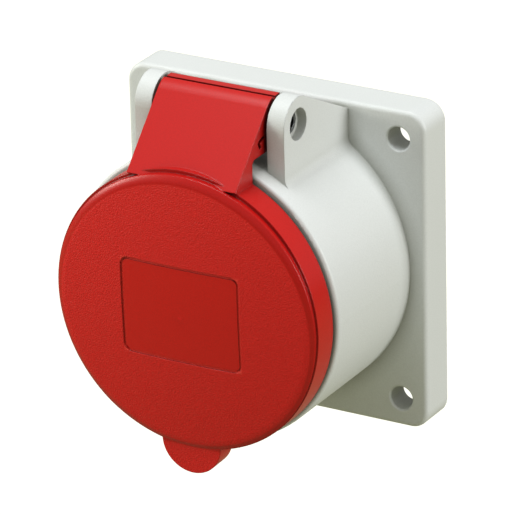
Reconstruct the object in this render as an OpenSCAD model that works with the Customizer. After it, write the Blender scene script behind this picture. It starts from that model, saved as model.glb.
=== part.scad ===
// Round panel socket with a sprung lid on a square flange.
// Frame: origin at the centre of the flange's back face, +Z up, the lid faces -Y.
// Depths are given as distances forward of the flange's back face.

/* [Flange] */
// width and height of the square flange
flange_w = 85; // [84:0.5:88]
// depth of the flange, back to front
flange_t = 10.5; // [9.5:0.25:12]
// radius of the flange's four corners
flange_corner_r = 5; // [3.5:0.25:6]
// radius of the flange's front edge
flange_edge_r = 1.2; // [0.6:0.1:2]
// thickness of the wall round the flange
rim_wall = 3; // [2.5:0.25:3.5]
// bite of the barrel's solid root into that wall
root_bite = 0.5; // [0.3:0.1:0.8]
// thickness of the flange's front plate
plate_t = 4; // [3:0.25:5]
// distance from each edge of the flange to the mounting holes
hole_edge = 7.5; // [7:0.25:8]
// radius of the mounting holes
hole_r = 3.1; // [2.7:0.1:3.3]
// bevel round the mouth of each mounting hole
hole_bevel = 0.4; // [0.2:0.1:0.6]
// depth of the boss round each mounting hole, from the front face
boss_depth = 7; // [5.5:0.25:7.25]
// wall of the boss round each mounting hole
boss_wall = 2.2; // [1.8:0.1:2.6]

/* [Barrel] */
// distance from the flange's edge to the barrel
barrel_edge = 4.5; // [4.2:0.1:4.7]
// forward distance of the barrel's front rim
barrel_front = 47.2; // [46:0.1:47.4]
// radius of the rim's outer edge
rim_edge_r = 1; // [0.5:0.1:1.5]
// wall of the barrel round the bore that takes the plug's skirt
barrel_wall = 5.6; // [5.3:0.1:6]
// bevel at the mouth of the bore
bore_bevel = 0.8; // [0.4:0.1:1]
// width of the keyway at the bottom of the bore
key_w = 8; // [6:0.5:9]
// depth of the keyway outside the bore
key_depth = 3.2; // [2.5:0.1:3.6]
// forward distance of the back of the seat ring that holds the insert
seat_back = 3; // [2.5:0.25:4]
// thickness of the seat ring
seat_t = 5; // [4:0.25:6]
// wall of the collar that passes through the panel
collar_wall = 2.6; // [2.2:0.1:3]
// length of the collar behind the flange
collar_len = 8; // [6:0.5:10]
// width of the land round the collar, flush with the flange's back face
collar_land = 1.5; // [1:0.1:2]

/* [Hinge ears] */
// forward distance of the hinge axis
hinge_out = 35.3; // [34.8:0.1:35.8]
// height of the hinge axis above the barrel
hinge_rise = 7.2; // [7:0.1:8]
// clear width between the two ears
ear_gap = 32.4; // [32:0.1:33]
// thickness of each ear
ear_t = 4.8; // [4.4:0.1:5.4]
// radius of each ear's round head
ear_head_r = 7.1; // [6.8:0.1:7.6]
// height above the barrel at which each ear's top edge meets the flange
ear_root_rise = 2.2; // [1:0.1:3]
// radius that blends each ear into the barrel
ear_blend_r = 3; // [2:0.25:4]
// radius of the recess round each end of the hinge pin
recess_r = 4.1; // [3.6:0.1:4.6]
// depth of that recess
recess_depth = 2.4; // [1.5:0.1:3]

/* [Hinge pin] */
// radius of the hinge pin
pin_r = 3; // [2.6:0.1:3.1]
// radius of the hollow in each end of the pin
pin_hollow_r = 2.1; // [1.6:0.1:2.2]
// depth of the hollow in each end of the pin
pin_hollow_depth = 7; // [4:0.5:9]
// running gap between the pin and the lid
pin_gap = 0.05; // [0.02:0.01:0.08]

/* [Lid spring] */
// radius of the spring wire
wire_r = 0.6; // [0.4:0.05:0.7]
// mean radius of the spring's coils
coil_r = 4.2; // [3.9:0.05:4.4]
// distance from one coil to the next
coil_pitch = 1.6; // [1.5:0.05:2]
// number of coils
coil_count = 7; // [5:1:8]
// length of the leg that rests on the barrel
back_leg = 18; // [16:0.5:19]
// length of the leg that sits in the arm
arm_leg = 10; // [8:0.5:11]
// gap left under the end of that leg
leg_rest = 0.05; // [0.02:0.01:0.1]
// gap round the leg that sits in the arm
leg_gap = 0.4; // [0.3:0.05:0.5]

/* [Lid] */
// gap between the rim and the lid's skirt
lid_gap = 0.9; // [0.7:0.05:1.1]
// distance that the skirt stands inside the barrel's outer face
skirt_inset = 1.1; // [1:0.05:1.3]
// height of the skirt's centre
skirt_up = -0.4; // [-0.6:0.1:0]
// distance that the gasket's seat stands outside the bore
gasket_step = 2; // [1.6:0.1:2.2]
// depth of the skirt at its centre, from its back edge to its ledge
skirt_depth = 7.3; // [6.9:0.1:7.5]
// forward lean of the ledge in degrees
ledge_lean = 0.35; // [0:0.05:0.8]
// distance that the raised front disc stands inside the skirt
disc_inset = 0.5; // [0.4:0.05:0.9]
// forward distance of the disc's edge beyond the ledge, at its centre
disc_step = 0.7; // [0.4:0.1:1.2]
// depth of the disc behind its edge
disc_t = 5; // [4:0.25:5.5]
// height of the disc's centre
disc_up = -0.8; // [-1:0.1:-0.4]
// forward lean of the disc in degrees
disc_lean = 1.75; // [1.2:0.05:2.2]
// width of the rounded band round the disc
band_w = 2.4; // [1.8:0.1:3]
// radius of the band's section
band_r = 5.5; // [5:0.25:8]
// rise of the domed face inside the band
dome_rise = 2; // [1.2:0.1:2.4]
// distance that the lid's hollow stands inside the bore
hollow_inset = 1.8; // [1.5:0.1:3]
// depth of the lid's hollow, from the skirt's back edge
hollow_depth = 6.5; // [5.5:0.1:6.9]
// radius of the grip tab
tab_r = 8.3; // [7.5:0.1:9]
// distance that the centre of the grip tab lies inside the disc's edge
tab_inset = 1; // [0.6:0.1:1.4]
// thickness of the grip tab
tab_t = 6; // [4.5:0.25:6.5]
// height of the label field's centre above the disc's centre
label_up = 0.4; // [0:0.1:0.8]
// width of the label field
label_w = 33.4; // [30:0.2:36]
// height of the label field
label_h = 25.6; // [22:0.2:28]
// corner radius of the label field
label_corner_r = 2.2; // [1.6:0.1:3]
// width of the groove round the label field
label_groove_w = 0.6; // [0.4:0.05:0.8]
// depth of the groove round the label field
label_groove_t = 0.4; // [0.3:0.05:0.6]
// depth of the label field itself
label_sink = 0.15; // [0.1:0.05:0.25]

/* [Lid arm] */
// width of the arm
arm_w = 30.6; // [30:0.1:31.2]
// outer radius of the shell round the hinge
knuckle_r = 7.3; // [7.1:0.05:7.4]
// radius of the two hubs on the pin
hub_r = 6.3; // [5.8:0.1:6.4]
// width of each hub
hub_w = 7.6; // [6.5:0.1:8.2]
// distance from the top of the disc down to the foot of the arm's slope
foot_drop = 1.4; // [1:0.1:1.8]
// height by which the arm's toe runs on below its foot
toe_drop = 0.5; // [0.3:0.05:0.8]
// gap between the barrel and the arm's underside
arm_gap = 1.1; // [1:0.05:1.4]
// bevel along the arm's underside
arm_bevel = 0.9; // [0.5:0.1:1.2]
// angle behind the hinge at which the shell ends
shell_end = 100; // [95:1:105]
// angle of the groove along the top of the shell
top_groove_angle = 78; // [74:1:80]
// width of the groove along the top of the shell
top_groove_w = 1; // [0.6:0.1:1.4]
// depth of the groove along the top of the shell
top_groove_t = 1.1; // [0.6:0.1:1.4]
// angle of the strip behind that groove, set a little lower
strip_angle = 88; // [86:1:90]
// distance that the strip is set lower
strip_drop = 0.5; // [0.2:0.1:0.7]
// depth of the notch in each side of the arm
notch_t = 0.8; // [0.4:0.1:1.2]
// width of the notch in each side of the arm
notch_w = 0.9; // [0.6:0.1:1.2]

/* [Gaskets] */
// thickness of the panel gasket
gasket_t = 2; // [1.5:0.1:2.4]
// width of the flange's rim outside the panel gasket
gasket_edge = 1.5; // [1.2:0.1:2]
// radius left clear round each mounting hole
gasket_relief_r = 6.2; // [5.6:0.1:7]
// gap round the panel gasket
gasket_gap = 0.15; // [0.1:0.05:0.3]
// distance that the lid gasket reaches inside the bore
gasket_reach = 1.2; // [0.6:0.1:1.4]
// thickness of the lid gasket
lid_gasket_t = 2.8; // [2.2:0.1:3.2]
// gap between the lid gasket and the rim
seal_gap = 0.3; // [0.3:0.05:0.5]

/* [Contact insert] */
// room for the plug's skirt between the insert and the bore
skirt_room = 5; // [4.8:0.1:5.4]
// distance from the barrel's front rim back to the insert's front face
insert_back = 5.2; // [4.5:0.1:7]
// bevel round the insert's front face
insert_bevel = 1; // [0.5:0.1:1.5]
// gap between the insert and the housing
insert_gap = 0.4; // [0.2:0.05:0.6]
// thickness of the insert's base behind the seat ring
base_t = 5; // [4.5:0.25:5.5]
// distance from the circle of contacts to the insert's outer face
contact_inset = 8.9; // [8.4:0.1:9.4]
// thickness of the insert's front wall
front_wall = 3; // [2.5:0.25:4]
// gap round each pin where it enters the insert
entry_gap = 0.5; // [0.3:0.05:0.7]
// bevel at each pin entry
entry_bevel = 0.8; // [0.4:0.1:1]
// gap round each sleeve in its chamber
chamber_gap = 1.1; // [1:0.05:1.3]
// distance that the terminal block stands inside the insert's outer face
block_inset = 0.4; // [0:0.1:0.8]
// gap round the screws and collars that drop into the insert and the block
drop_gap = 0.1; // [0.05:0.05:0.15]
// length of the block that holds the terminals
block_len = 18; // [17.5:0.25:20]
// gap round each terminal in the block
terminal_gap = 0.2; // [0.1:0.05:0.3]

/* [Contacts] */
// radius of the plug's phase pins
phase_pin_r = 3; // [2.9:0.05:3.1]
// radius of the plug's earth pin
earth_pin_r = 4; // [3.9:0.05:4.1]
// gap between a plug pin and its sleeve
sleeve_gap = 0.1; // [0.06:0.01:0.15]
// wall of each sleeve
sleeve_wall = 1.1; // [0.9:0.05:1.2]
// gap between a sleeve's front end and the insert's front wall
sleeve_end_gap = 0.6; // [0.3:0.1:1]
// width of the slit in each sleeve
slit_w = 0.8; // [0.6:0.1:1]
// length of the slit in each sleeve
slit_len = 18; // [14:0.5:20]
// thickness of the web between the sleeve bore and the wire hole
contact_web = 3; // [2:0.25:4]
// width of the collar round each contact beyond the sleeve
collar_step = 1.5; // [1.2:0.1:1.8]
// thickness of that collar
contact_collar_t = 2; // [1.5:0.1:2.2]
// wall of each terminal round its wire hole
terminal_wall = 2.1; // [1.9:0.1:2.3]
// extra wall of the earth terminal
earth_extra = 0.6; // [0:0.1:0.8]
// radius of the wire hole
wire_hole_r = 3.1; // [2.8:0.1:3.2]
// length of each terminal
terminal_len = 15.5; // [14:0.25:16]
// depth of the wire hole
wire_hole_depth = 12; // [10:0.5:13]

/* [Clamp rings] */
// radius of the clamp ring wire
ring_wire_r = 0.5; // [0.35:0.05:0.55]
// depth of the groove under the clamp ring
ring_groove = 0.4; // [0.3:0.05:0.5]
// distance of the clamp ring from the sleeve's front end
ring_back = 3.5; // [2.5:0.25:5]
// opening in the clamp ring in degrees
ring_open = 24; // [12:2:40]

/* [Screws] */
// radius of the terminal screws
terminal_screw_r = 1.9; // [1.6:0.05:2]
// length of the terminal screws
terminal_screw_len = 7.5; // [6:0.25:8]
// distance of the terminal screws from the end of the terminal
terminal_screw_back = 6; // [5:0.25:7]
// bite of the terminal screws into the wire hole
terminal_screw_bite = 0; // [0:0.1:1.5]
// gap round a terminal screw in the block
screw_gap = 0.4; // [0.3:0.05:0.6]
// radius of the insert screws
insert_screw_r = 1.25; // [1:0.05:1.3]
// radius of the insert screws' heads
insert_head_r = 2.1; // [1.8:0.05:2.15]
// height of the insert screws' heads
insert_head_t = 1.5; // [1.2:0.1:1.8]
// length of the insert screws under the head
insert_screw_len = 8.5; // [7:0.25:9]
// radius of the block screw
block_screw_r = 2; // [1.6:0.1:2.1]
// radius of the block screw's head
block_head_r = 3.5; // [3:0.1:3.8]
// height of the block screw's head
block_head_t = 2.4; // [1.8:0.1:2.6]
// depth by which that head is sunk in the block
block_head_sink = 0.6; // [0.3:0.1:1]
// gap round that head
block_head_gap = 0.3; // [0.2:0.05:0.4]
// length of the block screw's thread in the insert
block_screw_bite = 8; // [6:0.5:10]
// depth of the slots in the screws
drive_t = 0.7; // [0.5:0.1:0.9]
// width of the slots in the screws
drive_w = 0.7; // [0.5:0.1:0.9]

/* [Hidden] */

$fn = 96;
eps = 0.01;
bite = 0.5;
big = 200;

// housing
hole_pitch = flange_w - 2 * hole_edge;
barrel_r = flange_w / 2 - barrel_edge;
bore_r = barrel_r - barrel_wall;
collar_r = bore_r + collar_wall;
hinge_up = barrel_r + hinge_rise;
ear_root_up = barrel_r + ear_root_rise;
ear_in = ear_gap / 2;
ear_out = ear_in + ear_t;
ear_mid = (ear_in + ear_out) / 2;
ear_low = sqrt(pow((barrel_r + bore_r) / 2, 2) - pow(ear_mid, 2));
pin_half = ear_out - recess_depth;
seat_front = seat_back + seat_t;
insert_r = bore_r - skirt_room;
seat_r = insert_r + insert_gap;
base_back = seat_back - base_t;

// contacts
contact_turn = 72;
contact_start = -90;
contact_ring_r = insert_r - contact_inset;
block_r = insert_r - block_inset;
insert_front = barrel_front - insert_back;
sleeve_front = insert_front - front_wall - sleeve_end_gap;
collar_front = base_back + contact_collar_t;
block_back = base_back - block_len;
terminal_back = base_back - terminal_len;
screw_at = terminal_back + terminal_screw_back;
insert_screw_ring = (insert_r + bore_r) / 2;
block_head_seat = block_back + block_head_t + block_head_sink;

// lid
skirt_r = barrel_r - skirt_inset;
skirt_inner_r = bore_r + gasket_step;
skirt_back = barrel_front + lid_gap;
ledge_out = skirt_back + skirt_depth;
lid_inner = skirt_back + hollow_depth;
land_r = bore_r - hollow_inset;
lid_gasket_r = bore_r - gasket_reach;
disc_r = skirt_r - disc_inset;
disc_out = ledge_out + disc_step;
dome_edge = disc_r - band_w;
dome_r = (dome_edge * dome_edge + dome_rise * dome_rise) / (2 * dome_rise);
dome_slope = asin(dome_edge / dome_r);
band_slope = asin(dome_edge / dome_r + band_w / band_r);
band_h = band_r * (cos(dome_slope) - cos(band_slope));
dome_top = band_h + dome_rise;
tab_down = disc_r - tab_inset;
arm_foot_up = disc_up + disc_r - foot_drop;
arm_under_up = barrel_r + arm_gap;
gasket_back = barrel_front + seal_gap;
gasket_front = gasket_back + lid_gasket_t;
hub_out = arm_w / 2;
hub_in = hub_out - hub_w;
spring_room_r = coil_r + wire_r + 0.7;

// spring
coil_half = coil_count * coil_pitch / 2;
leg_drop = hinge_up - coil_r - sqrt(barrel_r * barrel_r - coil_half * coil_half) - leg_rest;
back_leg_slope = asin(leg_drop / norm([back_leg, wire_r])) - atan(wire_r / back_leg);

function contact_angle(i) = contact_start + contact_turn * i;

// turns a shape so that its local z runs forward
module forward() {
  rotate([90, 0, 0]) children();
}

// extrudes a side view, drawn as forward against up, across the part
module across(w) {
  rotate([90, 0, -90]) linear_extrude(w, center = true) children();
}

// places a shape on the hinge axis, with its local z along the axis
module on_hinge() {
  translate([0, -hinge_out, hinge_up]) rotate([0, 90, 0]) children();
}

module at_contact(i) {
  rotate([0, 0, contact_angle(i)]) translate([contact_ring_r, 0, 0]) children();
}

module at_holes() {
  for (x = [-1, 1], y = [-1, 1]) {
    translate([x * hole_pitch / 2, y * hole_pitch / 2, 0]) children();
  }
}

module tube(r_out, r_in, z0, z1) {
  translate([0, 0, z0]) difference() {
    cylinder(r = r_out, h = z1 - z0);
    translate([0, 0, -eps]) cylinder(r = r_in, h = z1 - z0 + 2 * eps);
  }
}

module rod(r, z0, z1) {
  translate([0, 0, z0]) cylinder(r = r, h = z1 - z0);
}

module round_square(w, h, r) {
  square([w - 2 * r, h], center = true);
  square([w, h - 2 * r], center = true);
  for (x = [-1, 1], y = [-1, 1]) {
    translate([x * (w / 2 - r), y * (h / 2 - r)]) circle(r);
  }
}

// ---- housing ----

// half of the flange's section, with its front edge rounded
module edge_profile(w) {
  square([w, flange_t - flange_edge_r]);
  square([w - flange_edge_r, flange_t]);
  translate([w - flange_edge_r, flange_t - flange_edge_r]) circle(flange_edge_r, $fn = 32);
}

module flange_bar() {
  straight = flange_w - 2 * flange_corner_r;
  rotate([90, 0, 0]) linear_extrude(straight, center = true) {
    edge_profile(flange_w / 2);
    mirror([1, 0]) edge_profile(flange_w / 2);
  }
}

module flange_block() {
  corner = flange_w / 2 - flange_corner_r;
  flange_bar();
  rotate([0, 0, 90]) flange_bar();
  for (x = [-1, 1], y = [-1, 1]) {
    translate([x * corner, y * corner, 0]) rotate_extrude($fn = 64) edge_profile(flange_corner_r);
  }
}

module flange_hollow() {
  inner = flange_w - 2 * rim_wall;
  recess = flange_w - 2 * gasket_edge;
  translate([0, 0, -eps]) linear_extrude(gasket_t + eps) difference() {
    round_square(recess, recess, flange_corner_r - gasket_edge);
    circle(collar_r + collar_land);
  }
  difference() {
    translate([0, 0, gasket_t - eps]) linear_extrude(flange_t - plate_t - gasket_t + eps) {
      difference() {
        round_square(inner, inner, 2);
        circle(inner / 2 + root_bite);
      }
    }
    at_holes() rod(hole_r + boss_wall, flange_t - boss_depth, flange_t);
  }
}

module hole_cut() {
  rod(hole_r, -eps, flange_t + eps);
  translate([0, 0, flange_t - hole_bevel]) {
    cylinder(r1 = hole_r, r2 = hole_r + hole_bevel + eps, h = hole_bevel + eps);
  }
}

module barrel() {
  rotate_extrude($fn = 192) {
    square([barrel_r, barrel_front - rim_edge_r]);
    square([barrel_r - rim_edge_r, barrel_front]);
    translate([barrel_r - rim_edge_r, barrel_front - rim_edge_r]) circle(rim_edge_r, $fn = 32);
  }
}

// side view of an ear, from its round head back to the flange
module ear_side() {
  root = [flange_t - 1, ear_root_up];
  head = [hinge_out, hinge_up];
  gap = norm(head - root);
  turn = atan2(head[1] - root[1], head[0] - root[0]) + asin(ear_head_r / gap);
  reach = sqrt(gap * gap - ear_head_r * ear_head_r);
  tangent = root + reach * [cos(turn), sin(turn)];
  translate(head) circle(ear_head_r);
  polygon([root, tangent, head, head + [ear_head_r, 0], [hinge_out + ear_head_r, ear_low],
    [root[0], ear_low]]);
}

module ear() {
  translate([ear_mid, 0, 0]) across(ear_t) ear_side();
}

// fills the corner between an ear's outer face and the barrel with a radius
module ear_blend() {
  centre = [ear_out + ear_blend_r,
    sqrt(pow(barrel_r + ear_blend_r, 2) - pow(ear_out + ear_blend_r, 2))];
  touch = centre * barrel_r / (barrel_r + ear_blend_r);
  foot = [ear_out - 1, sqrt(pow(barrel_r - 1, 2) - pow(ear_out - 1, 2))];
  forward() translate([0, 0, flange_t - 1]) {
    linear_extrude(hinge_out + ear_head_r - flange_t + 1) difference() {
      polygon([[ear_out - 1, centre[1]], centre, touch, touch * (barrel_r - 1) / barrel_r, foot]);
      translate(centre) circle(ear_blend_r, $fn = 64);
    }
  }
}

module housing() {
  color([0.86, 0.87, 0.87]) difference() {
    union() {
      forward() {
        difference() {
          flange_block();
          flange_hollow();
        }
        barrel_and_collar();
      }
      for (side = [0, 1]) {
        mirror([side, 0, 0]) {
          ear();
          ear_blend();
        }
      }
    }
    forward() {
      at_holes() hole_cut();
      bore_cut();
      for (a = [45:90:315]) {
        rotate([0, 0, a]) translate([insert_screw_ring, 0, 0]) {
          rod(insert_screw_r, seat_back - 1, seat_front + 1);
        }
      }
    }
    on_hinge() {
      rod(pin_r, -big / 2, big / 2);
      for (s = [-1, 1]) {
        translate([0, 0, s * (pin_half + 5)]) cylinder(r = recess_r, h = 10, center = true);
      }
    }
  }
}

module barrel_and_collar() {
  difference() {
    barrel();
    tube(barrel_r + 1, collar_r + collar_land, -1, gasket_t);
  }
  rod(collar_r, -collar_len, 1);
}

module bore_cut() {
  rod(seat_r, seat_back - 1, seat_front + 1);
  rod(bore_r, seat_front, barrel_front + 1);
  rod(bore_r, -collar_len - 1, seat_back);
  translate([0, 0, barrel_front - bore_bevel]) {
    cylinder(r1 = bore_r, r2 = bore_r + bore_bevel + eps, h = bore_bevel + eps);
  }
  translate([-key_w / 2, -bore_r - key_depth, seat_front]) {
    cube([key_w, key_depth + 4, barrel_front]);
  }
}

// ---- contact insert and terminals ----

function sleeve_out(pin) = pin + sleeve_gap + sleeve_wall;
function collar_out(pin) = sleeve_out(pin) + collar_step;
function pin_of(i) = i == 0 ? earth_pin_r : phase_pin_r;
function terminal_out(pin) = wire_hole_r + terminal_wall + (pin == earth_pin_r ? earth_extra : 0);

module insert_chamber(i) {
  pin = pin_of(i);
  at_contact(i) {
    rod(pin + entry_gap, insert_front - front_wall - 1, insert_front + 1);
    translate([0, 0, insert_front - entry_bevel]) {
      cylinder(r1 = pin + entry_gap, r2 = pin + entry_gap + entry_bevel, h = entry_bevel + eps);
    }
    rod(sleeve_out(pin) + chamber_gap, collar_front, insert_front - front_wall);
    rod(collar_out(pin) + drop_gap, base_back - 1, collar_front + eps);
  }
}

module contact_insert() {
  color([0.14, 0.14, 0.15]) forward() difference() {
    union() {
      rod(insert_r, seat_back - 1, insert_front - insert_bevel);
      translate([0, 0, insert_front - insert_bevel]) {
        cylinder(r1 = insert_r, r2 = insert_r - insert_bevel, h = insert_bevel);
      }
      rod(bore_r - insert_gap, base_back, seat_back);
    }
    for (i = [0:4]) insert_chamber(i);
    rod(block_screw_r, base_back - 1, base_back + block_screw_bite + 1);
    for (a = [45:90:315]) {
      rotate([0, 0, a]) translate([insert_screw_ring, 0, 0]) {
        rod(insert_screw_r + drop_gap, base_back - 1, seat_back + 1);
      }
    }
  }
}

module terminal_block() {
  color([0.2, 0.2, 0.21]) forward() difference() {
    rod(block_r, block_back, base_back);
    for (i = [0:4]) {
      at_contact(i) {
        rod(terminal_out(pin_of(i)) + terminal_gap, block_back - 1, base_back + 1);
        translate([0, 0, screw_at]) rotate([0, 90, 0]) {
          cylinder(r = terminal_screw_r + screw_gap, h = 20);
        }
      }
    }
    rod(block_screw_r + drop_gap, block_back - 1, base_back + 1);
    rod(block_head_r + block_head_gap, block_back - 1, block_head_seat);
  }
}

module contact(i) {
  pin = pin_of(i);
  color([0.83, 0.68, 0.32]) forward() at_contact(i) difference() {
    union() {
      rod(sleeve_out(pin), collar_front - eps, sleeve_front);
      rod(collar_out(pin), base_back, collar_front);
      rod(terminal_out(pin), terminal_back, base_back + eps);
    }
    rod(pin + sleeve_gap, terminal_back + wire_hole_depth + contact_web, sleeve_front + 1);
    rod(wire_hole_r, terminal_back - 1, terminal_back + wire_hole_depth);
    translate([-10, -slit_w / 2, sleeve_front - slit_len]) cube([20, slit_w, slit_len + 1]);
    translate([0, 0, screw_at]) rotate([0, 90, 0]) cylinder(r = terminal_screw_r, h = 20);
    translate([0, 0, sleeve_front - ring_back]) rotate_extrude($fn = 64) {
      translate([sleeve_out(pin) - ring_groove + ring_wire_r, 0]) circle(ring_wire_r, $fn = 24);
    }
  }
}

module clamp_ring(i) {
  pin = pin_of(i);
  color([0.72, 0.73, 0.75]) forward() at_contact(i) {
    translate([0, 0, sleeve_front - ring_back]) rotate([0, 0, ring_open / 2]) {
      rotate_extrude(angle = 360 - ring_open, $fn = 64) {
        translate([sleeve_out(pin) - ring_groove + ring_wire_r, 0]) {
          circle(ring_wire_r, $fn = 24);
        }
      }
    }
  }
}

module terminal_screws() {
  color([0.7, 0.7, 0.72]) forward() for (i = [0:4]) {
    at_contact(i) translate([wire_hole_r - terminal_screw_bite, 0, screw_at]) rotate([0, 90, 0]) {
      difference() {
        cylinder(r = terminal_screw_r, h = terminal_screw_len);
        translate([-5, -drive_w / 2, terminal_screw_len - drive_t]) cube([10, drive_w, 2]);
      }
    }
  }
}

module insert_screws() {
  color([0.7, 0.7, 0.72]) forward() for (a = [45:90:315]) {
    rotate([0, 0, a]) translate([insert_screw_ring, 0, 0]) difference() {
      union() {
        rod(insert_screw_r, base_back - eps, base_back + insert_screw_len);
        rod(insert_head_r, base_back - insert_head_t, base_back);
      }
      translate([-5, -drive_w / 2, base_back - insert_head_t - 1]) {
        cube([10, drive_w, drive_t + 1]);
      }
    }
  }
}

module block_screw() {
  color([0.7, 0.7, 0.72]) forward() difference() {
    union() {
      rod(block_screw_r, block_head_seat - eps, base_back + block_screw_bite);
      rod(block_head_r, block_head_seat - block_head_t, block_head_seat);
    }
    translate([-5, -drive_w / 2, block_head_seat - block_head_t - 1]) {
      cube([10, drive_w, drive_t + 1]);
    }
  }
}

// ---- hinge ----

module hinge_pin() {
  color([0.78, 0.78, 0.8]) on_hinge() difference() {
    cylinder(r = pin_r, h = 2 * pin_half, center = true);
    for (s = [-1, 1]) {
      translate([0, 0, s * pin_half]) {
        cylinder(r = pin_hollow_r, h = 2 * pin_hollow_depth, center = true);
      }
    }
  }
}

// one coil: two half rings, leaning opposite ways so that their ends meet
module coil() {
  lean = atan2(coil_pitch / 4, coil_r);
  half_r = coil_r / cos(lean);
  for (s = [-1, 1]) {
    translate([0, 0, s * coil_pitch / 4]) rotate([0, -s * lean, 0]) {
      rotate([0, 0, s > 0 ? 180 : 0]) rotate_extrude(angle = 180, $fn = 48) {
        translate([half_r, 0]) circle(wire_r, $fn = 20);
      }
    }
  }
}

module lid_spring() {
  color([0.66, 0.67, 0.7]) on_hinge() {
    for (k = [0:coil_count - 1]) {
      translate([0, 0, -coil_half + coil_pitch * (k + 0.5)]) coil();
    }
    translate([coil_r, 0, -coil_half]) rotate([0, 0, -back_leg_slope]) rotate([-90, 0, 0]) {
      cylinder(r = wire_r, h = back_leg);
    }
    translate([coil_r, 0, coil_half]) rotate([90, 0, 0]) cylinder(r = wire_r, h = arm_leg);
  }
}

// ---- lid ----

// the frame of the lid's front disc
module on_disc() {
  forward() translate([0, disc_up, disc_out]) rotate([disc_lean, 0, 0]) children();
}

module skirt() {
  difference() {
    forward() translate([0, skirt_up, 0]) rod(skirt_r, skirt_back, disc_out + disc_t);
    on_disc() translate([-big / 2, -big / 2, 0]) cube([big, big, big]);
    forward() translate([0, skirt_up, ledge_out]) rotate([ledge_lean, 0, 0]) {
      translate([-big / 2, -big / 2, 0]) cube([big, big, big]);
    }
  }
}

// half section of the dome's cap
module dome_section() {
  intersection() {
    translate([0, dome_top - dome_r]) circle(dome_r, $fn = 720);
    square([dome_edge, dome_top + 1]);
  }
}

module disc() {
  band_at = [dome_edge - band_r * sin(dome_slope), band_h - band_r * cos(dome_slope)];
  on_disc() rotate_extrude($fn = 192) {
    dome_section();
    intersection() {
      translate(band_at) circle(band_r, $fn = 360);
      translate([dome_edge, 0]) square([band_w, band_h + 1]);
    }
    translate([0, -disc_t]) square([disc_r, disc_t]);
  }
}

module tab() {
  on_disc() translate([0, -tab_down, -tab_t]) cylinder(r = tab_r, h = tab_t);
}

// what a sunk shape takes away from the domed face, to the given depth
module sink(depth) {
  difference() {
    translate([0, label_up, 0]) linear_extrude(dome_top + 1) children();
    translate([0, 0, -depth]) rotate_extrude($fn = 192) dome_section();
    translate([0, 0, -1]) cylinder(r = dome_edge, h = 1 + eps);
  }
}

module label_cut() {
  on_disc() {
    sink(label_sink) round_square(label_w, label_h, label_corner_r);
    sink(label_groove_t) difference() {
      round_square(label_w, label_h, label_corner_r);
      round_square(label_w - 2 * label_groove_w, label_h - 2 * label_groove_w,
        label_corner_r - label_groove_w);
    }
  }
}

// a fan of the side view round the hinge axis, from angle a0 to a1
module fan(a0, a1, r) {
  step = (a1 - a0) / 6;
  translate([hinge_out, hinge_up]) {
    polygon(concat([[0, 0]], [for (k = [0:6]) r * [cos(a0 + k * step), sin(a0 + k * step)]]));
  }
}

// side view of the arm: the shell over the hinge and the slope down to the disc
module arm_side() {
  head = [hinge_out, hinge_up];
  foot = [disc_out - 0.1, arm_foot_up];
  gap = norm(foot - head);
  turn = atan2(head[1] - foot[1], head[0] - foot[0]) - asin(knuckle_r / gap);
  reach = sqrt(gap * gap - knuckle_r * knuckle_r);
  tangent = foot + reach * [cos(turn), sin(turn)];
  toe = foot - toe_drop / sin(turn) * [cos(turn), sin(turn)];
  inside = arm_foot_up - 6;
  difference() {
    union() {
      intersection() {
        translate(head) circle(knuckle_r);
        fan(0, shell_end, 2 * knuckle_r);
      }
      polygon([tangent, toe, [ledge_out - bite, toe[1] - arm_bevel], [ledge_out - bite, inside],
        [skirt_back, inside], [skirt_back, arm_under_up - arm_bevel],
        [skirt_back - arm_bevel, arm_under_up], [hinge_out + 5, arm_under_up], head]);
    }
    translate(head) rotate(top_groove_angle) {
      translate([knuckle_r - top_groove_t, -top_groove_w / 2]) square([4, top_groove_w]);
    }
    translate(head) rotate(strip_angle) translate([knuckle_r - strip_drop, -2]) square([4, 12]);
  }
}

// the notch in the side of the arm, in side view
module notch_side() {
  translate([hinge_out, hinge_up]) rotate(-15) {
    translate([knuckle_r - 0.5, -notch_w / 2]) square([3, notch_w]);
  }
  translate([hinge_out, hinge_up]) rotate(-25) {
    translate([knuckle_r + 2, -0.2]) square([notch_w, 2]);
  }
}

module arm() {
  across(arm_w) arm_side();
  on_hinge() for (s = [-1, 1]) {
    translate([0, 0, s * (hub_in + hub_w / 2)]) cylinder(r = hub_r, h = hub_w, center = true);
  }
}

module arm_cuts() {
  on_hinge() {
    rod(pin_r + pin_gap, -big / 2, big / 2);
    rod(spring_room_r, -hub_in, hub_in);
    translate([coil_r, 0, coil_half]) rotate([90, 0, 0]) {
      cylinder(r = wire_r + leg_gap, h = arm_leg + leg_gap);
    }
  }
  for (s = [-1, 1]) {
    translate([s * arm_w / 2, 0, 0]) across(2 * notch_t) notch_side();
  }
}

module lid_cavity() {
  forward() {
    rod(land_r, skirt_back - 1, lid_inner);
    rod(skirt_inner_r, skirt_back - 1, gasket_front);
  }
}

module lid() {
  color([0.78, 0.14, 0.11]) difference() {
    union() {
      skirt();
      disc();
      tab();
      arm();
    }
    lid_cavity();
    arm_cuts();
    label_cut();
  }
}

module lid_gasket() {
  color([0.1, 0.1, 0.11]) forward() {
    tube(skirt_inner_r, lid_gasket_r, gasket_back, gasket_front);
  }
}

module panel_gasket() {
  side = flange_w - 2 * gasket_edge - 2 * gasket_gap;
  color([0.16, 0.16, 0.17]) forward() linear_extrude(gasket_t) difference() {
    round_square(side, side, flange_corner_r - gasket_edge - gasket_gap);
    circle(collar_r + collar_land + gasket_gap);
    at_holes() circle(gasket_relief_r);
    for (x = [-1, 1], y = [-1, 1]) {
      translate([x, y] * (hole_pitch + side) / 2) square(side, center = true);
    }
  }
}

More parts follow.
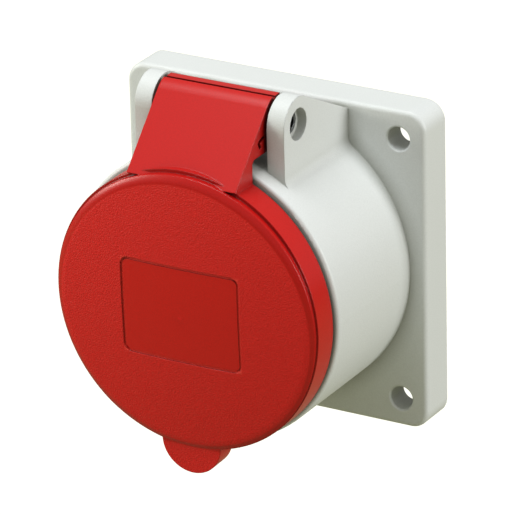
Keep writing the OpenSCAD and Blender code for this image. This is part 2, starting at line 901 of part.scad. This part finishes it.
housing();
panel_gasket();
contact_insert();
terminal_block();
insert_screws();
block_screw();
contact(0);  // contact_pe
contact(1);  // contact_l1
contact(2);  // contact_l2
contact(3);  // contact_l3
contact(4);  // contact_n
clamp_ring(0);  // ring_pe
clamp_ring(1);  // ring_l1
clamp_ring(2);  // ring_l2
clamp_ring(3);  // ring_l3
clamp_ring(4);  // ring_n
terminal_screws();
hinge_pin();
lid_spring();
lid();
lid_gasket();
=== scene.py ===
"""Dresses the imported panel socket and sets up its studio.

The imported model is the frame: every piece here rides on one of its bodies and
keeps inside its box. All lengths are in metres, in the row frame: +Z up, the
lid faces -Y, and the origin is at the centre of the flange's back face.
"""

import logging
import math
from dataclasses import dataclass, field
from enum import Enum

import bpy
from mathutils import Matrix, Vector

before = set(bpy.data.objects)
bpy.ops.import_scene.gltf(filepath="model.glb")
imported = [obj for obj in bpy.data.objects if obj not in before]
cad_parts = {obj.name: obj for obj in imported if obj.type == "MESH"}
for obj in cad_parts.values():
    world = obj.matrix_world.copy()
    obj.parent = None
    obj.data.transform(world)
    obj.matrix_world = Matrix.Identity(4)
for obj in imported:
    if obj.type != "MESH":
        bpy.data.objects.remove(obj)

LOG = logging.getLogger("panel_socket")
MM = 0.001
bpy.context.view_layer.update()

Colour = tuple[float, float, float]
Point = tuple[float, float, float]


class Body(Enum):
    """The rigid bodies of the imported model."""

    SOCKET = "socket"
    LID = "lid"


def linear(colour: Colour) -> tuple[float, float, float, float]:
    """Turns a display colour into a linear one.

    Args:
        colour: Red, green and blue from 0 to 1, as shown on a display.

    Returns:
        The same colour in linear light, with an alpha of 1.
    """
    parts = [c / 12.92 if c <= 0.04045 else ((c + 0.055) / 1.055) ** 2.4 for c in colour]
    return (parts[0], parts[1], parts[2], 1.0)


# ---- shared shader groups ----


class NodeGroups:
    """Builds the node groups that several finishes share, each one once."""

    def __init__(self) -> None:
        """Starts with no groups."""
        self._made: dict[str, bpy.types.NodeTree] = {}

    def _new(self, name: str, inputs: list[tuple[str, str, float]],
             outputs: list[tuple[str, str]]) -> bpy.types.NodeTree:
        """Makes an empty group with its sockets.

        Args:
            name: The group's name.
            inputs: Name, socket type and default value of each input.
            outputs: Name and socket type of each output.

        Returns:
            The new group, with an input node "in" and an output node "out".
        """
        tree = bpy.data.node_groups.new(name, "ShaderNodeTree")
        for label, kind, value in inputs:
            socket = tree.interface.new_socket(label, in_out="INPUT", socket_type=kind)
            if kind == "NodeSocketFloat":
                socket.default_value = value
        for label, kind in outputs:
            tree.interface.new_socket(label, in_out="OUTPUT", socket_type=kind)
        tree.nodes.new("NodeGroupInput").name = "in"
        tree.nodes.new("NodeGroupOutput").name = "out"
        self._made[name] = tree
        return tree

    def moulded_surface(self) -> bpy.types.NodeTree:
        """Returns the group that rounds edges and adds a fine moulded grain."""
        name = "moulded_surface"
        if name in self._made:
            return self._made[name]
        tree = self._new(
            name,
            [("Edge radius", "NodeSocketFloat", 0.0004), ("Grain size", "NodeSocketFloat", 900.0),
             ("Grain depth", "NodeSocketFloat", 0.1), ("Wave depth", "NodeSocketFloat", 0.05)],
            [("Normal", "NodeSocketVector"), ("Grain", "NodeSocketFloat")])
        nodes, links = tree.nodes, tree.links
        inp, out = nodes["in"], nodes["out"]
        bevel = nodes.new("ShaderNodeBevel")
        bevel.samples = 6
        links.new(inp.outputs["Edge radius"], bevel.inputs["Radius"])
        coord = nodes.new("ShaderNodeTexCoord")
        fine = nodes.new("ShaderNodeTexNoise")
        fine.inputs["Detail"].default_value = 2.0
        links.new(coord.outputs["Object"], fine.inputs["Vector"])
        links.new(inp.outputs["Grain size"], fine.inputs["Scale"])
        broad = nodes.new("ShaderNodeTexNoise")
        broad.inputs["Scale"].default_value = 45.0
        broad.inputs["Detail"].default_value = 1.0
        links.new(coord.outputs["Object"], broad.inputs["Vector"])
        wave = nodes.new("ShaderNodeBump")
        wave.inputs["Distance"].default_value = 0.002
        links.new(inp.outputs["Wave depth"], wave.inputs["Strength"])
        links.new(broad.outputs["Fac"], wave.inputs["Height"])
        links.new(bevel.outputs["Normal"], wave.inputs["Normal"])
        bump = nodes.new("ShaderNodeBump")
        bump.inputs["Distance"].default_value = 0.0002
        links.new(inp.outputs["Grain depth"], bump.inputs["Strength"])
        links.new(fine.outputs["Fac"], bump.inputs["Height"])
        links.new(wave.outputs["Normal"], bump.inputs["Normal"])
        links.new(bump.outputs["Normal"], out.inputs["Normal"])
        links.new(fine.outputs["Fac"], out.inputs["Grain"])
        return tree

    def crevice_shade(self) -> bpy.types.NodeTree:
        """Returns the group that paints shade into a colour where faces come close together."""
        name = "crevice_shade"
        if name in self._made:
            return self._made[name]
        tree = self._new(
            name,
            [("Colour", "NodeSocketColor", 0.0), ("Painted shade colour", "NodeSocketColor", 0.0),
             ("Reach", "NodeSocketFloat", 0.004), ("Amount", "NodeSocketFloat", 0.5)],
            [("Colour", "NodeSocketColor")])
        nodes, links = tree.nodes, tree.links
        inp, out = nodes["in"], nodes["out"]
        close = nodes.new("ShaderNodeAmbientOcclusion")
        close.samples = 6
        links.new(inp.outputs["Reach"], close.inputs["Distance"])
        ramp = nodes.new("ShaderNodeMath")
        ramp.operation = "SUBTRACT"
        ramp.inputs[0].default_value = 1.0
        links.new(close.outputs["AO"], ramp.inputs[1])
        scale = nodes.new("ShaderNodeMath")
        scale.operation = "MULTIPLY"
        scale.use_clamp = True
        links.new(ramp.outputs[0], scale.inputs[0])
        links.new(inp.outputs["Amount"], scale.inputs[1])
        mix = nodes.new("ShaderNodeMix")
        mix.data_type = "RGBA"
        links.new(scale.outputs[0], mix.inputs["Factor"])
        links.new(inp.outputs["Colour"], mix.inputs[6])
        links.new(inp.outputs["Painted shade colour"], mix.inputs[7])
        links.new(mix.outputs[2], out.inputs["Colour"])
        return tree

    def face_zones(self) -> bpy.types.NodeTree:
        """Returns the group that marks the lid's textured face, its label field and the band round the
        field where a highlight is painted.
        """
        name = "face_zones"
        if name in self._made:
            return self._made[name]
        tree = self._new(
            name,
            [("Face height", "NodeSocketFloat", 0.0), ("Face radius", "NodeSocketFloat", 0.03),
             ("Label height", "NodeSocketFloat", 0.0), ("Label half width", "NodeSocketFloat", 0.01),
             ("Label half height", "NodeSocketFloat", 0.01), ("Line width", "NodeSocketFloat", 0.0006)],
            [("Face", "NodeSocketFloat"), ("Label", "NodeSocketFloat"),
             ("Line", "NodeSocketFloat")])
        nodes, links = tree.nodes, tree.links
        inp, out = nodes["in"], nodes["out"]

        def math_node(operation: str, first: bpy.types.NodeSocket,
                      second: bpy.types.NodeSocket | float = 0.0) -> bpy.types.NodeSocket:
            """Adds one math node and returns its output."""
            node = nodes.new("ShaderNodeMath")
            node.operation = operation
            links.new(first, node.inputs[0])
            if isinstance(second, float):
                node.inputs[1].default_value = second
            else:
                links.new(second, node.inputs[1])
            return node.outputs[0]

        def below(value: bpy.types.NodeSocket, limit: bpy.types.NodeSocket | float,
                  blur: float) -> bpy.types.NodeSocket:
            """Returns 1 where a value is under a limit, falling to 0 over the blur."""
            over = math_node("DIVIDE", math_node("SUBTRACT", value, limit), blur)
            node = nodes.new("ShaderNodeMath")
            node.operation = "SUBTRACT"
            node.use_clamp = True
            node.inputs[0].default_value = 0.5
            links.new(over, node.inputs[1])
            return node.outputs[0]

        coord = nodes.new("ShaderNodeTexCoord")
        place = nodes.new("ShaderNodeSeparateXYZ")
        links.new(coord.outputs["Object"], place.inputs[0])
        facing = nodes.new("ShaderNodeSeparateXYZ")
        links.new(coord.outputs["Normal"], facing.inputs[0])
        across, up = place.outputs["X"], place.outputs["Z"]
        front = below(facing.outputs["Y"], -0.92, 0.04)
        rise = math_node("SUBTRACT", up, inp.outputs["Face height"])
        square = math_node("ADD", math_node("MULTIPLY", across, across),
                           math_node("MULTIPLY", rise, rise))
        face = below(math_node("SQRT", square), inp.outputs["Face radius"], 0.0005)
        tab = below(up, math_node("SUBTRACT", inp.outputs["Face height"],
                                  inp.outputs["Face radius"]), 0.0005)
        either = math_node("MAXIMUM", face, tab)
        links.new(math_node("MULTIPLY", either, front), out.inputs["Face"])
        lift = math_node("SUBTRACT", up, inp.outputs["Label height"])
        def field_mask(grow: bpy.types.NodeSocket | float) -> bpy.types.NodeSocket:
            """Returns 1 inside the label field, grown on every side by the given width."""
            half_width = math_node("ADD", inp.outputs["Label half width"], grow)
            half_height = math_node("ADD", inp.outputs["Label half height"], grow)
            wide = below(math_node("ABSOLUTE", across), half_width, 0.0003)
            tall = below(math_node("ABSOLUTE", lift), half_height, 0.0003)
            return math_node("MULTIPLY", wide, tall)

        label = field_mask(0.0)
        links.new(math_node("MULTIPLY", label, front), out.inputs["Label"])
        # Line: the band round the label field, where the lid's material paints a highlight.
        links.new(math_node("SUBTRACT", field_mask(inp.outputs["Line width"]), label),
                  out.inputs["Line"])
        return tree


GROUPS = NodeGroups()


# ---- finishes ----


@dataclass(frozen=True)
class Plastic:
    """A moulded plastic or rubber finish."""

    name: str
    colour: Colour
    # The shade colour that is painted into crevices and hollows.
    painted_shade_colour: Colour
    roughness: float = 0.4
    specular: float = 0.5
    coat: float = 0.0
    coat_roughness: float = 0.1
    edge: float = 0.0004
    grain_size: float = 1400.0
    grain_depth: float = 0.08
    wave_depth: float = 0.0
    # How much shade is painted into crevices, and over what reach.
    crevice: float = 0.6
    reach: float = 0.004
    speckle: float = 0.0

    def build(self) -> bpy.types.Material:
        """Builds the material.

        Returns:
            A material with rounded edges, grain and painted shade in its crevices.
        """
        material = bpy.data.materials.new(self.name)
        material.use_nodes = True
        nodes, links = material.node_tree.nodes, material.node_tree.links
        shader = nodes["Principled BSDF"]
        shader.inputs["Roughness"].default_value = self.roughness
        shader.inputs["Specular IOR Level"].default_value = self.specular
        shader.inputs["Coat Weight"].default_value = self.coat
        shader.inputs["Coat Roughness"].default_value = self.coat_roughness
        surface = nodes.new("ShaderNodeGroup")
        surface.name = "surface"
        surface.node_tree = GROUPS.moulded_surface()
        surface.inputs["Edge radius"].default_value = self.edge
        surface.inputs["Grain size"].default_value = self.grain_size
        surface.inputs["Grain depth"].default_value = self.grain_depth
        surface.inputs["Wave depth"].default_value = self.wave_depth
        links.new(surface.outputs["Normal"], shader.inputs["Normal"])
        # Painted shade: the colour darkens towards the painted shade colour where faces come close
        # together.
        shade = nodes.new("ShaderNodeGroup")
        shade.name = "shade"
        shade.node_tree = GROUPS.crevice_shade()
        shade.inputs["Colour"].default_value = linear(self.colour)
        shade.inputs["Painted shade colour"].default_value = linear(self.painted_shade_colour)
        shade.inputs["Reach"].default_value = self.reach
        shade.inputs["Amount"].default_value = self.crevice
        value = nodes.new("ShaderNodeMapRange")
        value.name = "speckle"
        value.inputs["From Min"].default_value = 0.3
        value.inputs["From Max"].default_value = 0.7
        value.inputs["To Min"].default_value = 1.0 - self.speckle
        value.inputs["To Max"].default_value = 1.0 + self.speckle
        links.new(surface.outputs["Grain"], value.inputs["Value"])
        tone = nodes.new("ShaderNodeHueSaturation")
        links.new(value.outputs[0], tone.inputs["Value"])
        links.new(shade.outputs["Colour"], tone.inputs["Color"])
        links.new(tone.outputs[0], shader.inputs["Base Color"])
        return material


@dataclass(frozen=True)
class FacedPlastic(Plastic):
    """The lid's plastic: glossy, with a fine-textured face, a smoother label field and a painted
    highlight line round the field.
    """

    face_colour: Colour = (0.88, 0.10, 0.08)
    face_height: float = -2.0 * MM
    face_radius: float = 35.2 * MM
    face_roughness: float = 0.5
    face_grain: float = 0.8
    label_colour: Colour = (0.84, 0.085, 0.065)
    label_height: float = -0.4 * MM
    label_half: tuple[float, float] = (16.1 * MM, 12.2 * MM)
    label_roughness: float = 0.36
    # The band round the label field is painted lighter, as a highlight along its groove.
    line_width: float = 0.6 * MM
    painted_highlight_colour: Colour = (0.92, 0.20, 0.16)
    dome_centre: Point = (0.0, 230.9 * MM, 8.0 * MM)

    def build(self) -> bpy.types.Material:
        """Builds the material.

        Returns:
            The plain plastic with its face and label zones and the painted highlight round the label
            field worked in.
        """
        material = super().build()
        nodes, links = material.node_tree.nodes, material.node_tree.links
        shader, surface, shade = nodes["Principled BSDF"], nodes["surface"], nodes["shade"]
        zones = nodes.new("ShaderNodeGroup")
        zones.node_tree = GROUPS.face_zones()
        zones.inputs["Face height"].default_value = self.face_height
        zones.inputs["Face radius"].default_value = self.face_radius
        zones.inputs["Label height"].default_value = self.label_height
        zones.inputs["Label half width"].default_value = self.label_half[0]
        zones.inputs["Label half height"].default_value = self.label_half[1]
        zones.inputs["Line width"].default_value = self.line_width
        face, label, line = (zones.outputs[k] for k in ("Face", "Label", "Line"))
        rough = self._blend(material, face, self.roughness, self.face_roughness)
        links.new(self._blend(material, label, rough, self.label_roughness),
                  shader.inputs["Roughness"])
        grain = self._blend(material, face, self.grain_depth, self.face_grain)
        links.new(self._blend(material, label, grain, self.grain_depth),
                  surface.inputs["Grain depth"])
        # No painted shade in the band round the label field; it takes the painted highlight instead.
        links.new(self._blend(material, line, self.crevice, 0.0), shade.inputs["Amount"])
        colour = linear(self.colour)
        # The face and label tints are the plastic's own colours; the band round the label field takes a
        # painted highlight along its groove.
        for mask, zone_colour in ((face, self.face_colour), (label, self.label_colour),
                                  (line, self.painted_highlight_colour)):
            tint = nodes.new("ShaderNodeMix")
            tint.data_type = "RGBA"
            if isinstance(colour, tuple):
                tint.inputs[6].default_value = colour
            else:
                links.new(colour, tint.inputs[6])
            tint.inputs[7].default_value = linear(zone_colour)
            links.new(mask, tint.inputs["Factor"])
            colour = tint.outputs[2]
        links.new(colour, shade.inputs["Colour"])
        links.new(self._label_normal(material, label, surface.outputs["Normal"]),
                  shader.inputs["Normal"])
        return material

    def _label_normal(self, material: bpy.types.Material, label: bpy.types.NodeSocket,
                      outside: bpy.types.NodeSocket) -> bpy.types.NodeSocket:
        """Gives the label field the even normal of the dome that it is sunk in.

        Args:
            material: The material that gets the nodes.
            label: 1 inside the label field and 0 outside it.
            outside: The normal outside the field.

        Returns:
            The socket with the blended normal.
        """
        nodes, links = material.node_tree.nodes, material.node_tree.links
        coord = nodes.new("ShaderNodeTexCoord")
        ray = nodes.new("ShaderNodeVectorMath")
        ray.operation = "SUBTRACT"
        ray.inputs[1].default_value = self.dome_centre
        links.new(coord.outputs["Object"], ray.inputs[0])
        turn = nodes.new("ShaderNodeVectorTransform")
        turn.vector_type = "NORMAL"
        turn.convert_from = "OBJECT"
        turn.convert_to = "WORLD"
        links.new(ray.outputs[0], turn.inputs[0])
        unit = nodes.new("ShaderNodeVectorMath")
        unit.operation = "NORMALIZE"
        links.new(turn.outputs[0], unit.inputs[0])
        mix = nodes.new("ShaderNodeMix")
        mix.data_type = "VECTOR"
        links.new(label, mix.inputs["Factor"])
        links.new(outside, mix.inputs[4])
        links.new(unit.outputs[0], mix.inputs[5])
        return mix.outputs[1]

    @staticmethod
    def _blend(material: bpy.types.Material, mask: bpy.types.NodeSocket,
               outside: bpy.types.NodeSocket | float, inside: float) -> bpy.types.NodeSocket:
        """Blends a value from outside a zone to inside it.

        Args:
            material: The material that gets the node.
            mask: 1 inside the zone and 0 outside it.
            outside: The value, or the socket that gives it, outside the zone.
            inside: The value inside the zone.

        Returns:
            The socket with the blended value.
        """
        node = material.node_tree.nodes.new("ShaderNodeMix")
        links = material.node_tree.links
        links.new(mask, node.inputs["Factor"])
        if isinstance(outside, float):
            node.inputs[2].default_value = outside
        else:
            links.new(outside, node.inputs[2])
        node.inputs[3].default_value = inside
        return node.outputs[0]


@dataclass(frozen=True)
class Metal:
    """A turned, drawn or plated metal finish."""

    name: str
    colour: Colour
    roughness: float = 0.3
    edge: float = 0.00015
    grain_depth: float = 0.05
    # The shade colour painted into hollows, and its reach.
    painted_shade_colour: Colour = (0.10, 0.10, 0.09)
    reach: float = 0.006

    def build(self) -> bpy.types.Material:
        """Builds the material.

        Returns:
            A metal material with rounded edges and a light grain.
        """
        material = bpy.data.materials.new(self.name)
        material.use_nodes = True
        nodes, links = material.node_tree.nodes, material.node_tree.links
        shader = nodes["Principled BSDF"]
        # Painted shade: the colour darkens fully towards the painted shade colour in hollows such as the
        # pin's bore.
        shade = nodes.new("ShaderNodeGroup")
        shade.node_tree = GROUPS.crevice_shade()
        shade.inputs["Colour"].default_value = linear(self.colour)
        shade.inputs["Painted shade colour"].default_value = linear(self.painted_shade_colour)
        shade.inputs["Reach"].default_value = self.reach
        shade.inputs["Amount"].default_value = 1.0
        links.new(shade.outputs["Colour"], shader.inputs["Base Color"])
        shader.inputs["Metallic"].default_value = 1.0
        shader.inputs["Roughness"].default_value = self.roughness
        surface = nodes.new("ShaderNodeGroup")
        surface.node_tree = GROUPS.moulded_surface()
        surface.inputs["Edge radius"].default_value = self.edge
        surface.inputs["Grain size"].default_value = 2500.0
        surface.inputs["Grain depth"].default_value = self.grain_depth
        surface.inputs["Wave depth"].default_value = 0.0
        links.new(surface.outputs["Normal"], shader.inputs["Normal"])
        return material


# The second colour of each plastic is the shade painted into its crevices: khaki for the grey housing,
# dark red for the lid.
GREY_PLASTIC = Plastic("housing_grey_plastic", (0.85, 0.86, 0.855), (0.42, 0.42, 0.33),
                       roughness=0.42, grain_size=2800.0, grain_depth=0.25, crevice=0.75,
                       reach=0.005, speckle=0.03)
RED_PLASTIC = FacedPlastic("lid_red_plastic", (0.755, 0.075, 0.06), (0.25, 0.015, 0.015),
                           roughness=0.28, specular=0.4, grain_size=3000.0, grain_depth=0.03,
                           crevice=1.0, reach=0.008, speckle=0.06)
SOFT_RUBBER = Plastic("gasket_rubber", (0.13, 0.13, 0.13), (0.05, 0.05, 0.05), roughness=0.8,
                      edge=0.0003, grain_depth=0.15)
INSERT_PLASTIC = Plastic("insert_plastic", (0.17, 0.17, 0.18), (0.05, 0.05, 0.05),
                         roughness=0.45, edge=0.0003)
BLOCK_PLASTIC = Plastic("block_plastic", (0.22, 0.22, 0.23), (0.06, 0.06, 0.06),
                        roughness=0.5, edge=0.0003)
BRASS = Metal("contact_brass_turned", (0.86, 0.72, 0.42), roughness=0.28)
SCREW_METAL = Metal("screw_zinc", (0.78, 0.78, 0.80), roughness=0.35)
SPRING_METAL = Metal("spring_wire", (0.72, 0.73, 0.75), roughness=0.25)
PIN_METAL = Metal("pin_steel_drawn", (0.80, 0.81, 0.83), roughness=0.3)


def dress(node: str, material: bpy.types.Material) -> None:
    """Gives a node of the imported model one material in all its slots.

    Args:
        node: The node's name.
        material: The material it takes.
    """
    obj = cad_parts[node]
    if not obj.material_slots:
        obj.data.materials.append(material)
    for slot in obj.material_slots:
        slot.material = material
    LOG.info("%s wears %s", node, material.name)


# ---- sub-assemblies ----


@dataclass
class Housing:
    """The moulded housing with its flange, barrel and hinge ears, and its panel gasket."""

    finish: Plastic = GREY_PLASTIC
    gasket: Plastic = SOFT_RUBBER

    def build(self) -> None:
        """Dresses the housing and its gasket."""
        dress("housing", self.finish.build())
        dress("panel_gasket", self.gasket.build())


@dataclass
class Lid:
    """The hinged lid with its gasket."""

    finish: Plastic = RED_PLASTIC
    gasket: Plastic = SOFT_RUBBER

    def build(self) -> None:
        """Dresses the lid and its gasket."""
        dress("lid", self.finish.build())
        dress("lid_gasket", self.gasket.build())


@dataclass
class Hinge:
    """The hollow-ended hinge pin and the lid spring."""

    pin: Metal = PIN_METAL
    wire: Metal = SPRING_METAL

    def build(self) -> None:
        """Dresses the pin and the spring."""
        dress("hinge_pin", self.pin.build())
        dress("lid_spring", self.wire.build())


@dataclass
class Contacts:
    """The insert, its contacts with their clamp rings, the terminal block and the screws."""

    names: tuple[str, ...] = ("pe", "l1", "l2", "l3", "n")
    brass: Metal = BRASS
    wire: Metal = SPRING_METAL
    screw: Metal = SCREW_METAL

    def build(self) -> None:
        """Dresses every piece behind the lid."""
        dress("contact_insert", INSERT_PLASTIC.build())
        dress("terminal_block", BLOCK_PLASTIC.build())
        brass, wire, screw = self.brass.build(), self.wire.build(), self.screw.build()
        for name in self.names:
            dress(f"contact_{name}", brass)
            dress(f"ring_{name}", wire)
        for node in ("insert_screws", "block_screw", "terminal_screws"):
            dress(node, screw)


# ---- studio ----


@dataclass(frozen=True)
class View:
    """The camera: where it stands round the object and how it looks at it."""

    azimuth: float = 30.249
    elevation: float = 22.959
    roll: float = -1.347
    distance: float = 1.3
    target: Point = (2.682 * MM, -25.0 * MM, 2.693 * MM)
    focal: float = 365.22

    def build(self) -> None:
        """Makes the camera and gives it to the scene."""
        azimuth, elevation = math.radians(self.azimuth), math.radians(self.elevation)
        away = Vector((math.sin(azimuth) * math.cos(elevation),
                       -math.cos(azimuth) * math.cos(elevation), math.sin(elevation)))
        right = (-away).cross(Vector((0, 0, 1))).normalized()
        up = right.cross(-away)
        roll = math.radians(self.roll)
        side = right * math.cos(roll) + up * math.sin(roll)
        top = up * math.cos(roll) - right * math.sin(roll)
        place = Vector(self.target) + away * self.distance
        data = bpy.data.cameras.new("camera")
        data.sensor_width = 36.0
        data.lens = self.focal
        data.clip_start = 0.05
        data.clip_end = 20.0
        camera = bpy.data.objects.new("camera", data)
        camera.matrix_world = Matrix((
            (side.x, top.x, away.x, place.x),
            (side.y, top.y, away.y, place.y),
            (side.z, top.z, away.z, place.z),
            (0, 0, 0, 1)))
        bpy.context.scene.collection.objects.link(camera)
        bpy.context.scene.camera = camera
        LOG.info("camera %.1f mm at %.2f m", self.focal, self.distance)


@dataclass(frozen=True)
class Softbox:
    """One soft studio light."""

    name: str
    place: Point
    size: float
    power: float
    colour: Colour = (1.0, 1.0, 1.0)
    aim: Point = (0.0, -0.03, 0.0)

    def build(self) -> None:
        """Makes the light and points it at the object."""
        data = bpy.data.lights.new(self.name, "AREA")
        data.shape = "DISK"
        data.size = self.size
        data.energy = self.power
        data.color = self.colour
        light = bpy.data.objects.new(self.name, data)
        light.location = self.place
        light.rotation_euler = (Vector(self.aim) - Vector(self.place)).to_track_quat("-Z", "Y").to_euler()
        bpy.context.scene.collection.objects.link(light)
        LOG.info("light %s %.1f W", self.name, self.power)


@dataclass
class Studio:
    """The floor, the surroundings and the lights."""

    floor_down: float = 0.16
    floor_size: float = 12.0
    ambient: Colour = (0.36, 0.36, 0.335)
    lights: list[Softbox] = field(default_factory=lambda: [
        Softbox("top", (-0.15, -0.2, 1.1), 0.7, 8.8, (0.94, 0.975, 1.0)),
        Softbox("right", (1.1, 0.1, 0.3), 0.6, 7.7, (1.0, 1.0, 1.0)),
        Softbox("left", (-1.2, -0.6, 0.45), 0.6, 11.0, (1.0, 1.0, 0.91)),
    ])

    def build(self) -> None:
        """Makes the floor, the surroundings and the lights."""
        self._floor()
        self._world()
        for light in self.lights:
            light.build()

    def _floor(self) -> None:
        """Makes the plain pale floor."""
        half = self.floor_size / 2
        mesh = bpy.data.meshes.new("floor")
        mesh.from_pydata([(-half, -half, 0), (half, -half, 0), (half, half, 0), (-half, half, 0)],
                         [], [(0, 1, 2, 3)])
        floor = bpy.data.objects.new("floor", mesh)
        floor.location = (0, 0, -self.floor_down)
        bpy.context.scene.collection.objects.link(floor)
        material = bpy.data.materials.new("floor")
        material.use_nodes = True
        nodes, links = material.node_tree.nodes, material.node_tree.links
        shader = nodes["Principled BSDF"]
        shader.inputs["Base Color"].default_value = (0.25, 0.25, 0.15, 1.0)
        shader.inputs["Roughness"].default_value = 1.0
        shader.inputs["Specular IOR Level"].default_value = 0.0
        glow = nodes.new("ShaderNodeEmission")
        glow.inputs["Color"].default_value = (1, 1, 1, 1)
        glow.inputs["Strength"].default_value = 0.9
        both = nodes.new("ShaderNodeAddShader")
        path = nodes.new("ShaderNodeLightPath")
        mix = nodes.new("ShaderNodeMixShader")
        links.new(shader.outputs[0], both.inputs[0])
        links.new(glow.outputs[0], both.inputs[1])
        links.new(path.outputs["Is Camera Ray"], mix.inputs["Fac"])
        links.new(shader.outputs[0], mix.inputs[1])
        links.new(both.outputs[0], mix.inputs[2])
        links.new(mix.outputs[0], nodes["Material Output"].inputs["Surface"])
        mesh.materials.append(material)

    def _world(self) -> None:
        """Makes the even surroundings: white to the camera, dimmer as light."""
        world = bpy.data.worlds.new("studio")
        bpy.context.scene.world = world
        world.use_nodes = True
        nodes, links = world.node_tree.nodes, world.node_tree.links
        light = nodes["Background"]
        light.inputs["Color"].default_value = (*self.ambient, 1.0)
        seen = nodes.new("ShaderNodeBackground")
        seen.inputs["Color"].default_value = (1, 1, 1, 1)
        path = nodes.new("ShaderNodeLightPath")
        mix = nodes.new("ShaderNodeMixShader")
        links.new(path.outputs["Is Camera Ray"], mix.inputs["Fac"])
        links.new(light.outputs[0], mix.inputs[1])
        links.new(seen.outputs[0], mix.inputs[2])
        links.new(mix.outputs[0], nodes["World Output"].inputs["Surface"])


def main() -> None:
    """Builds the view, the studio and every sub-assembly in order."""
    logging.basicConfig(level=logging.INFO, format="%(message)s")
    scene = bpy.context.scene
    scene.view_settings.view_transform = "Standard"
    View().build()
    Studio().build()
    for part in (Housing(), Lid(), Hinge(), Contacts()):
        part.build()
        LOG.info("built %s", type(part).__name__)


if __name__ == "__main__":
    main()
